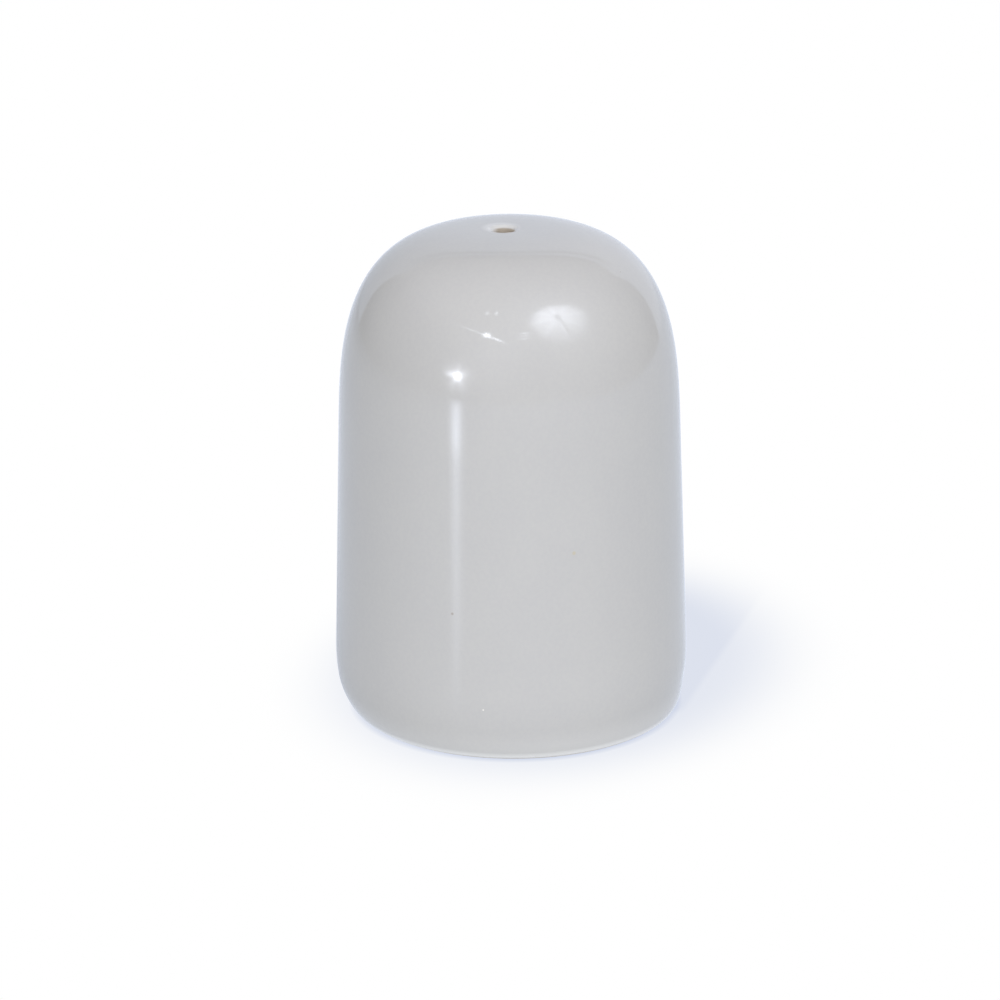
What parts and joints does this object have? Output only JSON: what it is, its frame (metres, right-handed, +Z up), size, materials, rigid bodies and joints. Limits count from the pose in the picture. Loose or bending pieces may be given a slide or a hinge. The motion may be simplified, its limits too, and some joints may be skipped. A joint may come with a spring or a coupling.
{
  "type": "pepper shaker",
  "caption": "Domed, slightly tapered glazed stoneware table shaker for pepper, with a pour hole in the crown and a pull-out soft stopper in its recessed base.",
  "frame": {"origin": "centre of the flat foot ring that the shaker stands on", "axes": "+Z up along the axis of revolution towards the crown; the pour hole lies 0.7 mm towards -X from the axis; the stopper's grip bar runs along X"},
  "size_m": [0.0574, 0.0574, 0.08],
  "materials": {
    "glaze": "glossy, warm light grey glaze on stoneware",
    "stopper": "matt, natural white moulded silicone"
  },
  "bodies": {
    "body": {"shaker_body": "glaze"},
    "stopper": {"base_stopper": "stopper"}
  },
  "joints": [
    {"name": "stopper_pull", "type": "slide", "parent": "body", "child": "stopper", "axis": [0, 0, -1], "range_m": [0, 0.03]}
  ]
}
